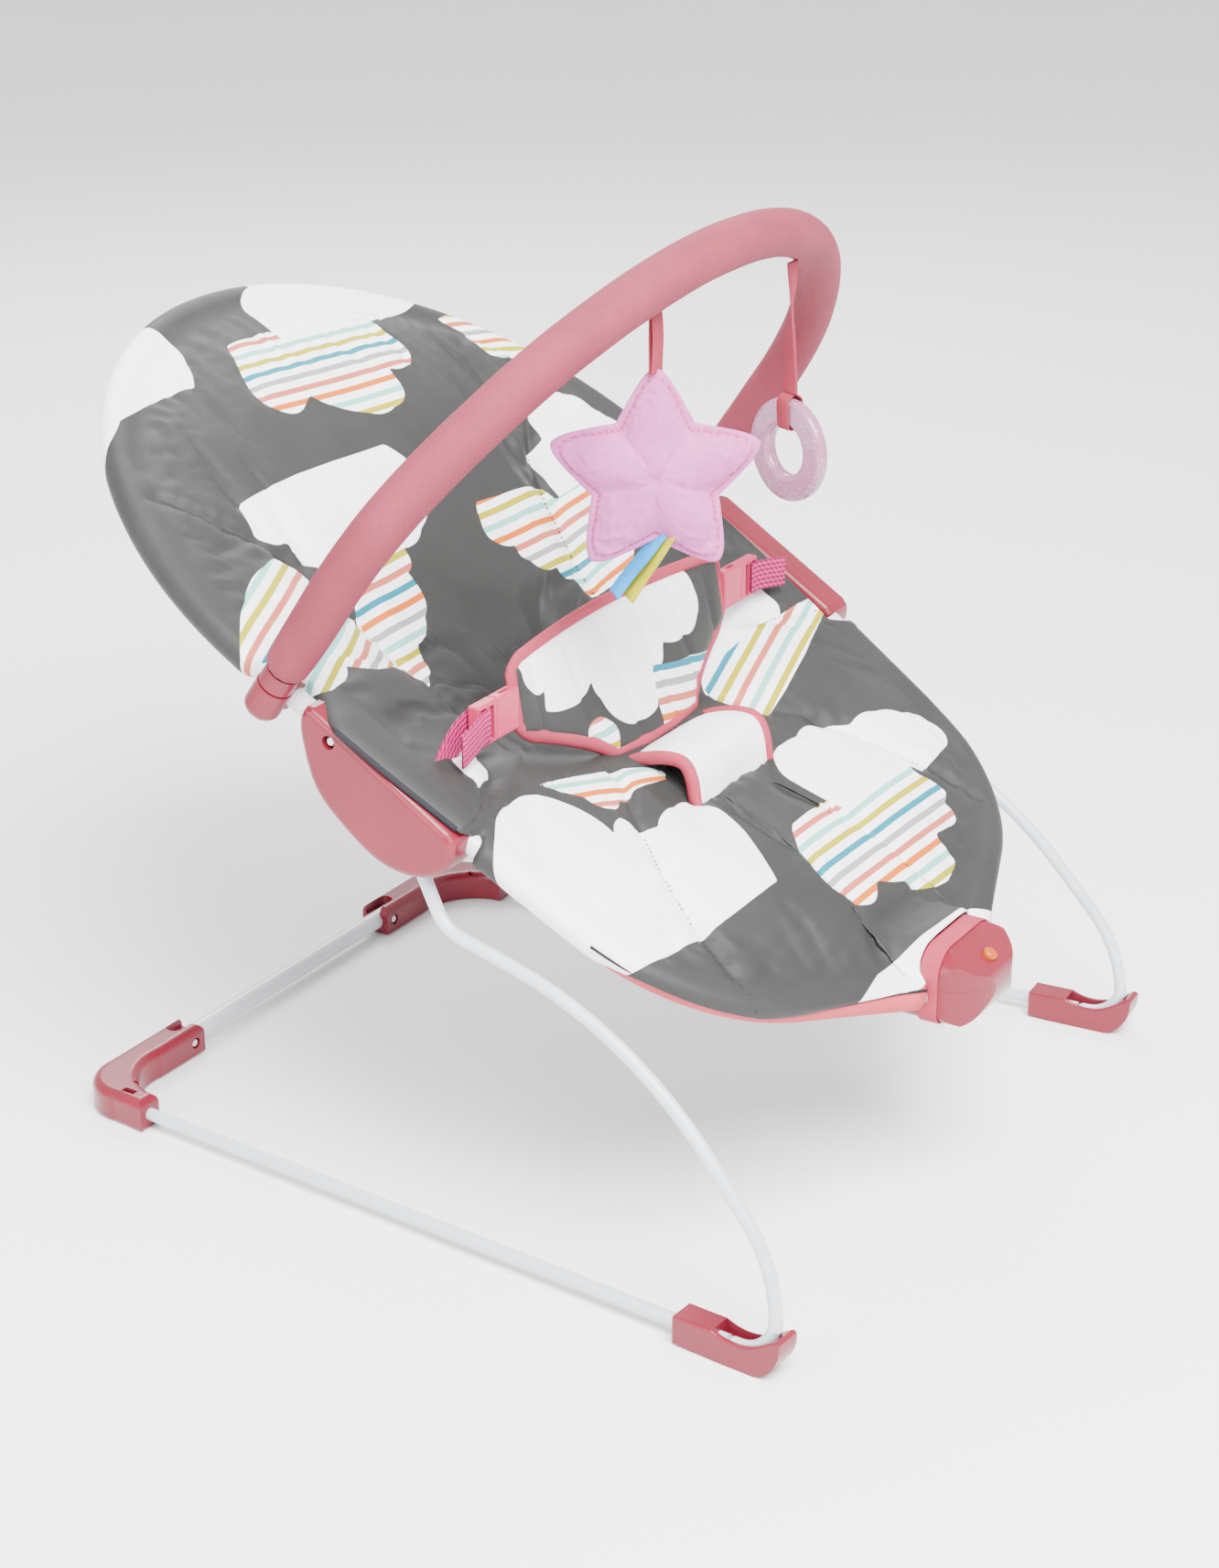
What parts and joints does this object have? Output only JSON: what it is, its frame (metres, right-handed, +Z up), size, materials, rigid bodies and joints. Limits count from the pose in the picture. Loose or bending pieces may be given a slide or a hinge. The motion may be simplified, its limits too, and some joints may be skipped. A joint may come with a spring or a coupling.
{
  "type": "baby bouncer seat",
  "caption": "Free-standing baby bouncer seat: sprung wire base, reclined fabric seat on a tube frame, waist restraint, toe vibration unit and removable toy bar.",
  "frame": {"origin": "on the floor, midway along and across the seat: bottom centre of the bounding box", "axes": "+Z up, +Y towards the head end, -Y towards the feet, +X to the seated child's left"},
  "size_m": [0.511, 0.5817, 0.5751],
  "materials": {
    "frame_steel": "light grey powder coat",
    "spring_steel": "pale blue-grey powder coat",
    "bright_steel": "bright",
    "pink_plastic": "glossy dusty pink",
    "sleeve_fabric": "smooth knit over foam",
    "foam": "plastic core",
    "plush": "short pile",
    "ribbon": "woven ribbon",
    "pale_webbing": "woven tape",
    "ring_plastic": "translucent with glitter",
    "unit_plastic": "glossy dusty pink",
    "battery_jacket": "printed sleeve",
    "brass": "plain",
    "board": "circuit board",
    "button_plastic": "orange",
    "seat_fabric": "dark grey satin with pale clouds",
    "hem_fabric": "pink piping cloth",
    "panel_fabric": "quilted print",
    "webbing": "woven pink webbing"
  },
  "bodies": {
    "base": {"rear_crossbar": "frame_steel", "rear_elbow_left": "pink_plastic", "rear_elbow_right": "pink_plastic", "crossbar_button_springs": "bright_steel", "floor_rod_left": "spring_steel", "floor_rod_right": "spring_steel", "front_foot_left": "pink_plastic", "front_foot_right": "pink_plastic"},
    "crossbar_button_left": {"crossbar_button_left": "bright_steel"},
    "crossbar_button_right": {"crossbar_button_right": "bright_steel"},
    "seat": {"leg_rod_left": "spring_steel", "leg_rod_right": "spring_steel", "head_tube": "frame_steel", "foot_tube": "frame_steel", "housing_cover_left": "pink_plastic", "housing_cover_right": "pink_plastic", "housing_back_left": "pink_plastic", "housing_back_right": "pink_plastic", "housing_screws": "bright_steel", "housing_button_springs": "bright_steel", "toy_bar_clips": "pink_plastic", "vibration_case_top": "unit_plastic", "vibration_case_bottom": "unit_plastic", "vibration_case_screws": "bright_steel", "battery": "battery_jacket", "battery_spring": "bright_steel", "battery_plate": "bright_steel", "motor": "bright_steel", "switch_board": "board", "head_hem": "seat_fabric", "foot_hems": "hem_fabric", "toe_cover": "seat_fabric", "toe_strap": "webbing", "back_cushion": "seat_fabric", "seat_cushion": "seat_fabric", "restraint_panel": "panel_fabric", "crotch_strap": "panel_fabric", "buckle_sockets": "pink_plastic", "waist_strap_anchors": "webbing"},
    "battery_door": {"battery_door": "unit_plastic", "battery_door_screw": "bright_steel"},
    "head_tube_button_left": {"head_tube_button_left": "bright_steel"},
    "head_tube_button_right": {"head_tube_button_right": "bright_steel"},
    "foot_tube_button_left": {"foot_tube_button_left": "bright_steel"},
    "foot_tube_button_right": {"foot_tube_button_right": "bright_steel"},
    "toy_bar": {"toy_bar_plugs": "pink_plastic", "toy_bar_core": "foam", "toy_bar_sleeve": "sleeve_fabric"},
    "star": {"star_strap": "pale_webbing", "star_cushion": "plush", "star_ribbons": "ribbon"},
    "teether_strap": {"teether_strap": "pale_webbing"},
    "teether_ring": {"teether_ring": "ring_plastic"},
    "eccentric_weight": {"eccentric_weight": "brass"},
    "power_button": {"power_button": "button_plastic"},
    "buckle_left": {"buckle_tongue_left": "pink_plastic", "waist_strap_tail_left": "webbing"},
    "buckle_right": {"buckle_tongue_right": "pink_plastic", "waist_strap_tail_right": "webbing"}
  },
  "joints": [
    {"name": "bounce", "type": "hinge", "parent": "base", "child": "seat", "pos_m": [0, -0.2424, 0.01], "axis": [1, 0, 0], "range_deg": [-4, 2.5], "stiffness_Nm_per_rad": 200, "springref_deg": 1.49},
    {"name": "crossbar_button_left_press", "type": "slide", "parent": "base", "child": "crossbar_button_left", "axis": [0, 1, 0], "range_m": [0, 0.0035], "stiffness_N_per_m": 600, "springref_m": -0.004, "deforming": ["crossbar_button_springs"]},
    {"name": "crossbar_button_right_press", "type": "slide", "parent": "base", "child": "crossbar_button_right", "axis": [0, 1, 0], "range_m": [0, 0.0035], "stiffness_N_per_m": 600, "springref_m": -0.004, "deforming": ["crossbar_button_springs"]},
    {"name": "head_tube_button_left_press", "type": "slide", "parent": "seat", "child": "head_tube_button_left", "axis": [-1, 0, 0], "range_m": [0, 0.0035], "stiffness_N_per_m": 600, "springref_m": -0.004, "deforming": ["housing_button_springs"]},
    {"name": "head_tube_button_right_press", "type": "slide", "parent": "seat", "child": "head_tube_button_right", "axis": [1, 0, 0], "range_m": [0, 0.0035], "stiffness_N_per_m": 600, "springref_m": -0.004, "deforming": ["housing_button_springs"]},
    {"name": "foot_tube_button_left_press", "type": "slide", "parent": "seat", "child": "foot_tube_button_left", "axis": [1, 0, 0], "range_m": [0, 0.0035], "stiffness_N_per_m": 600, "springref_m": -0.004, "deforming": ["housing_button_springs"]},
    {"name": "foot_tube_button_right_press", "type": "slide", "parent": "seat", "child": "foot_tube_button_right", "axis": [-1, 0, 0], "range_m": [0, 0.0035], "stiffness_N_per_m": 600, "springref_m": -0.004, "deforming": ["housing_button_springs"]},
    {"name": "toy_bar_lift", "type": "slide", "parent": "seat", "child": "toy_bar", "axis": [0, -0.5736, 0.8192], "range_m": [0, 0.024]},
    {"name": "star_swing", "type": "hinge", "parent": "toy_bar", "child": "star", "pos_m": [-0.076, -0.09258, 0.5359], "axis": [0.9574, -0.1656, 0.2366], "range_deg": [-30, 30]},
    {"name": "teether_swing", "type": "hinge", "parent": "toy_bar", "child": "teether_strap", "pos_m": [0.085, -0.09092, 0.53341], "axis": [0.9464, 0.1853, -0.2646], "range_deg": [-30, 30]},
    {"name": "teether_ring_turn", "type": "hinge", "parent": "teether_strap", "child": "teether_ring", "pos_m": [0.085, -0.09092, 0.417], "axis": [0.9397, -0.342, 0], "continuous": true},
    {"name": "power_button_press", "type": "slide", "parent": "seat", "child": "power_button", "axis": [0, 0.5333, -0.8459], "range_m": [0, 0.002], "stiffness_N_per_m": 500, "springref_m": -0.002},
    {"name": "motor_spin", "type": "hinge", "parent": "seat", "child": "eccentric_weight", "pos_m": [0, -0.251, 0.1545], "axis": [1, 0, 0], "continuous": true},
    {"name": "battery_door_lift", "type": "slide", "parent": "seat", "child": "battery_door", "axis": [0, 0, -1], "range_m": [0, 0.02]},
    {"name": "buckle_left_release", "type": "slide", "parent": "seat", "child": "buckle_left", "axis": [1, 0, 0], "range_m": [0, 0.018]},
    {"name": "buckle_right_release", "type": "slide", "parent": "seat", "child": "buckle_right", "axis": [-1, 0, 0], "range_m": [0, 0.018]}
  ]
}
